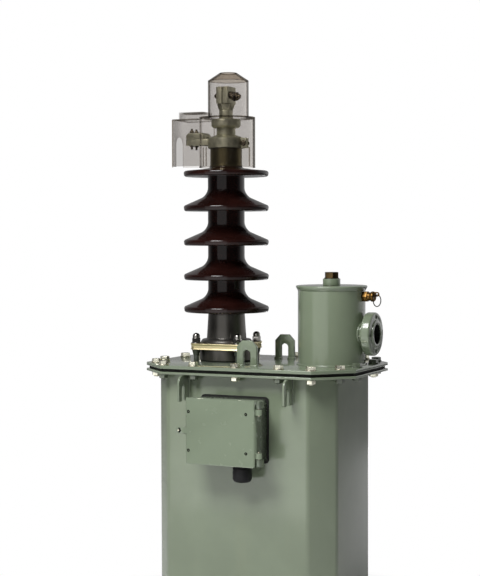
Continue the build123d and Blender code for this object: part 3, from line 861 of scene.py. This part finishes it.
class TRANSFORMER_OT_clear_cover(bpy.types.Operator):
    """Clear hood and cap over the terminals, with ribs, edges and rims that show as lines"""
    bl_idname = "transformer.clear_cover"
    bl_label = "Clear cover"

    def execute(self, context):
        ease_node("head_hood", "clear_hood", 0.7, smooth=40)
        ease_node("head_cap", "clear_cap", 0.5, smooth=40)
        low, high = extent("head_hood")
        cap, cap_high = middle("head_cap"), extent("head_cap")[1]
        hood_x = cap.x - 3
        ribs = bmesh.new()
        reach = high.x - hood_x - 3.4
        for heading in (-38.6, -26.6, 81.3):
            turn = radians(heading)
            spot = (hood_x + reach * sin(turn), -reach * cos(turn), low.z + 24)
            add(ribs, block((2.4, 2.4, 43), spot, 0.5, turn=turn))
        finish_piece(ribs, "clear_hood_ribs", "housing", "smoky_plastic", finish="smoky_edge")

        end, joint, side = low.x + 2.2, cap.x - 54, 36.9
        tall, level = HOOD_TOP - low.z - 19, (low.z + HOOD_TOP - 15) / 2
        edges = bmesh.new()
        for width, x, y in ((2.6, end, -side), (1.5, joint, -side), (1.5, joint, side)):
            add(edges, block((width, 2.2, tall), (x, y, level), 0.5))
        for y in (-side, side):
            add(edges, block((joint - end, 2.2, 1.6), ((end + joint) / 2, y, HOOD_TOP - 18), 0.5))
        for x, radius, z in ((hood_x, high.x - hood_x - 2.6, HOOD_TOP - 15),
                             (cap.x, cap_high.x - cap.x - 1.3, 1239.6), (cap.x, 19.2, cap_high.z - 1.2)):
            hoop = ring(radius - 0.9, radius + 0.5, z - 0.9, z + 0.5, 64)
            add(edges, hoop, Matrix.Translation((x, 0, 0)))
        finish_piece(edges, "clear_cover_edges", "housing", "smoky_plastic", finish="smoky_edge")
        return {"FINISHED"}


class TRANSFORMER_OT_turret(bpy.types.Operator):
    """Turret with its lid, boss, plug and outlet, and painted shade lining the outlet's bore"""
    bl_idname = "transformer.turret"
    bl_label = "Turret"

    def execute(self, context):
        for node, name, width in (("turret_shell", "turret_tube", 0), ("turret_lid", "turret_cap", 0.6),
                                  ("turret_boss", "turret_neck", 0.8), ("outlet_neck", "outlet_tube", 0),
                                  ("outlet_flange", "outlet_plate", 0.7)):
            ease_node(node, name, width, smooth=50)
        ease_node("filler_plug", "filler_plug_turned", 0.9, smooth=35)
        reach = extent("outlet_flange")[1].x - TURRET.x
        # A near-black liner inside the outlet's bore: painted shade
        liner = ring(21.5, 22.1, 30, reach - 2, 64)
        place = facing(RIGHT, (TURRET.x, 0, middle("outlet_flange").z))
        bmesh.ops.transform(liner, matrix=place, verts=liner.verts)
        finish_piece(liner, "outlet_bore_shade_liner", "housing", "green_paint", finish="shaded_bore", smooth=50)
        return {"FINISHED"}


class TRANSFORMER_OT_valve(bpy.types.Operator):
    """Relief valve and its pull ring"""
    bl_idname = "transformer.valve"
    bl_label = "Relief valve"

    def execute(self, context):
        ease_node("relief_valve", "relief_valve_turned", 0.5, finish="valve_brass", smooth=40)
        ease_node("pull_ring", "pull_ring_wire", 0, finish="ring_wire", smooth=80)
        return {"FINISHED"}


class TRANSFORMER_OT_terminal_box(bpy.types.Operator):
    """Terminal box, its hinge pins, and the board and studs inside"""
    bl_idname = "transformer.terminal_box"
    bl_label = "Terminal box"

    def execute(self, context):
        ease_node("box_gasket", "box_seal", 0.6)
        # The box body takes the darker copy of the casting enamel, as painted shade
        ease_node("terminal_box", "box_casting", 0.7, finish="shaded_box_green")
        ease_node("hinge_pins", "hinge_pins_plated", 0.4)
        ease_node("terminal_board", "terminal_board_moulded", 1.0)
        ease_node("terminal_studs", "terminal_studs_turned", 0.4)
        return {"FINISHED"}


class TRANSFORMER_OT_box_lid(bpy.types.Operator):
    """Lid of the terminal box, with its screws and the ear of its captive screw"""
    bl_idname = "transformer.box_lid"
    bl_label = "Terminal box lid"

    def execute(self, context):
        ease_node("box_lid", "box_lid_casting", 0.6, body="lid")
        screws = bmesh.new()
        for x, z in LID_SCREWS:
            head = turned([(0, 0, 0), (3.4, 0, 0), (3.4, 0.7, 0.4), (2.4, 1.2, 0.3), (1.5, 1.2, 0),
                           (1.2, 0.2, 0), (0, 0.2, 0)], 20)
            add(screws, head, facing(FRONT, (x, LID_FRONT + 0.4, z)))
        finish_piece(screws, "lid_screws", "lid", "green_casting", finish="blackened_steel", smooth=40)
        place = facing(FRONT, (CAPTIVE_X, LID_FRONT + EAR_SETBACK, CAPTIVE_Z))
        captive = turned([(0, 0, 0), (6.2, 0, 0), (6.2, 1.2, 0.4), (5.2, 1.3, 0), (4.6, 3.4, 2.2),
                          (0, 4.4, 0)], 28)
        bmesh.ops.transform(captive, matrix=place, verts=captive.verts)
        finish_piece(captive, "lid_captive_screw", "lid", "zinc_steel", smooth=50)
        ear = turned([(0, 0, 0), (6.6, 0, 0.5), (6.6, 4, 0.5), (0, 4, 0)], 32)
        bmesh.ops.transform(ear, matrix=place, verts=ear.verts)
        add(ear, block((18, 4, 13), (CAPTIVE_X + 9, LID_FRONT + 2.4, CAPTIVE_Z), 0.4))
        finish_piece(ear, "lid_ear", "lid", "green_casting", smooth=40)
        return {"FINISHED"}


class TRANSFORMER_OT_gland(bpy.types.Operator):
    """Cable gland under the terminal box"""
    bl_idname = "transformer.gland"
    bl_label = "Cable gland"

    def execute(self, context):
        ease_node("cable_gland", "gland_body", 0.7)
        ease_node("gland_nut", "gland_cap", 1.0, 3, smooth=50)
        return {"FINISHED"}


# Stage

def make_floor():
    """A pale round floor that fades to white, and throws more light on the front than on the back."""
    bm = bmesh.new()
    bmesh.ops.create_circle(bm, cap_ends=True, radius=9, segments=64)
    mesh = bpy.data.meshes.new("floor")
    bm.to_mesh(mesh)
    bm.free()
    floor = bpy.data.objects.new("floor", mesh)
    bpy.context.scene.collection.objects.link(floor)
    finish, tree = new_finish("pale_floor")
    reach = put(tree, "ShaderNodeVectorMath", {0: own_place(tree)}, operation="LENGTH")
    far = ramp(tree, reach.outputs["Value"], 0.26, 0.6)
    rays = put(tree, "ShaderNodeLightPath").outputs
    shown = calculate(tree, "MAXIMUM", rays["Is Camera Ray"], rays["Is Glossy Ray"])
    forward = ramp(tree, own_axes(tree)["Y"], 0.1, -0.3)
    bounce = mix_colors(tree, forward, (0.2, 0.2, 0.2), (0.75, 0.75, 0.75))
    pale = put(tree, "ShaderNodeBsdfDiffuse", {"Color": mix_colors(tree, shown, bounce, (0.8, 0.8, 0.8))})
    white = put(tree, "ShaderNodeEmission", Color=(1, 1, 1, 1), Strength=1.0)
    both = mix_shaders(tree, calculate(tree, "MULTIPLY", far, rays["Is Camera Ray"]),
                       pale.outputs["BSDF"], white.outputs["Emission"])
    put(tree, "ShaderNodeOutputMaterial", {"Surface": both})
    mesh.materials.append(finish)


def make_world(scene):
    """A white studio: soft light from above, and paler sides behind that only glossy paint mirrors."""
    world = bpy.data.worlds.new("studio")
    world.use_nodes = True
    scene.world = world
    tree = world.node_tree
    tree.nodes.clear()
    around = put(tree, "ShaderNodeTexCoord").outputs["Generated"]
    rays = put(tree, "ShaderNodeLightPath").outputs

    def glow(direction, low, high, start, end):
        """Light that grows toward a direction."""
        toward = put(tree, "ShaderNodeVectorMath", {0: around, 1: Vector(direction).normalized()},
                     operation="DOT_PRODUCT")
        return ramp(tree, toward.outputs["Value"], low, high, start, end)

    def background(strength):
        """A white background of a strength."""
        step = put(tree, "ShaderNodeBackground", Color=(1, 1, 1, 1), Strength=strength)
        return step.outputs["Background"]

    soft = background(glow((-0.25, -0.6, 0.76), -0.1, 1.0, 0.02, 0.24))
    behind = glow((-0.2, 0.98, 0.0), -0.2, 0.6, 0.04, 0.32)
    right = glow((0.45, 0.89, 0.0), 0.7, 0.97, 0.0, 0.72)
    left = glow((-0.85, 0.52, 0.0), 0.84, 0.98, 0.0, 0.2)
    mirrored = background(calculate(tree, "MAXIMUM", calculate(tree, "MAXIMUM", behind, right), left))
    unseen = mix_shaders(tree, rays["Is Glossy Ray"], soft, mirrored)
    plain = calculate(tree, "MAXIMUM", rays["Is Camera Ray"], rays["Is Transmission Ray"])
    put(tree, "ShaderNodeOutputWorld", {"Surface": mix_shaders(tree, plain, unseen, background(1.0))})


def lamp(name, place, target, width, power, height=None):
    """A soft lamp that faces a target, square unless a height is given."""
    data = bpy.data.lights.new(name, "AREA")
    data.energy, data.size = power, width
    if height:
        data.shape, data.size_y = "RECTANGLE", height
    item = bpy.data.objects.new(name, data)
    item.location = place
    item.rotation_euler = (Vector(target) - Vector(place)).to_track_quat("-Z", "Y").to_euler()
    bpy.context.scene.collection.objects.link(item)
    return item


class TRANSFORMER_OT_stage(bpy.types.Operator):
    """Floor, backdrop, camera and lights"""
    bl_idname = "transformer.stage"
    bl_label = "Stage"

    def execute(self, context):
        scene, sizes = context.scene, context.scene.unit_stage
        make_floor()
        make_world(scene)
        lamp("key_light", (-0.43, -2.46, 3.35), (0, 0, 0.7), 1.5, sizes.key_power)
        back = lamp("back_light", (-0.5, 2.8, 0.45), (0, 0, 0.55), 1.2, sizes.back_power)
        back.visible_glossy = False
        card = lamp("shine_card", (-0.15, -0.76, 0.75), (-0.15, 0, 0.75), 0.86, sizes.card_power, 1.2)
        card.visible_diffuse = False

        camera = bpy.data.objects.new("camera", bpy.data.cameras.new("camera"))
        camera.data.lens, camera.data.sensor_width, camera.data.sensor_fit = sizes.lens, 36, "HORIZONTAL"
        camera.location, camera.rotation_euler = sizes.camera_place, sizes.camera_turn
        scene.collection.objects.link(camera)
        scene.camera = camera
        scene.view_settings.view_transform = "Standard"
        return {"FINISHED"}


OPERATORS = (
    TRANSFORMER_OT_finishes, TRANSFORMER_OT_tank, TRANSFORMER_OT_carriers, TRANSFORMER_OT_welds,
    TRANSFORMER_OT_cover_bolts, TRANSFORMER_OT_porcelain, TRANSFORMER_OT_clamp, TRANSFORMER_OT_head,
    TRANSFORMER_OT_terminal_bolts, TRANSFORMER_OT_clear_cover, TRANSFORMER_OT_turret,
    TRANSFORMER_OT_valve, TRANSFORMER_OT_terminal_box, TRANSFORMER_OT_box_lid, TRANSFORMER_OT_gland,
    TRANSFORMER_OT_stage,
)

SETTINGS = {
    "unit_paint": PaintSettings,
    "unit_porcelain": PorcelainSettings,
    "unit_bolts": FastenerSettings,
    "unit_head": HeadSettings,
    "unit_stage": StageSettings,
}


class TRANSFORMER_PT_panel(bpy.types.Panel):
    """Lists the steps that dress the transformer"""
    bl_idname = "TRANSFORMER_PT_panel"
    bl_label = "Transformer"
    bl_space_type = "VIEW_3D"
    bl_region_type = "UI"
    bl_category = "Transformer"

    def draw(self, context):
        for name in SETTINGS:
            group = getattr(context.scene, name)
            column = self.layout.column()
            for key in group.__annotations__:
                column.prop(group, key)
        for step in OPERATORS:
            self.layout.operator(step.bl_idname)


def register():
    for name, group in SETTINGS.items():
        bpy.utils.register_class(group)
        setattr(bpy.types.Scene, name, bpy.props.PointerProperty(type=group))
    for step in (*OPERATORS, TRANSFORMER_PT_panel):
        bpy.utils.register_class(step)


def unregister():
    for step in reversed((*OPERATORS, TRANSFORMER_PT_panel)):
        bpy.utils.unregister_class(step)
    for name, group in SETTINGS.items():
        delattr(bpy.types.Scene, name)
        bpy.utils.unregister_class(group)


def main():
    """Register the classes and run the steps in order."""
    register()
    for step in OPERATORS:
        name = step.bl_idname.split(".")[1]
        getattr(bpy.ops.transformer, name)()


if __name__ == "__main__":
    main()
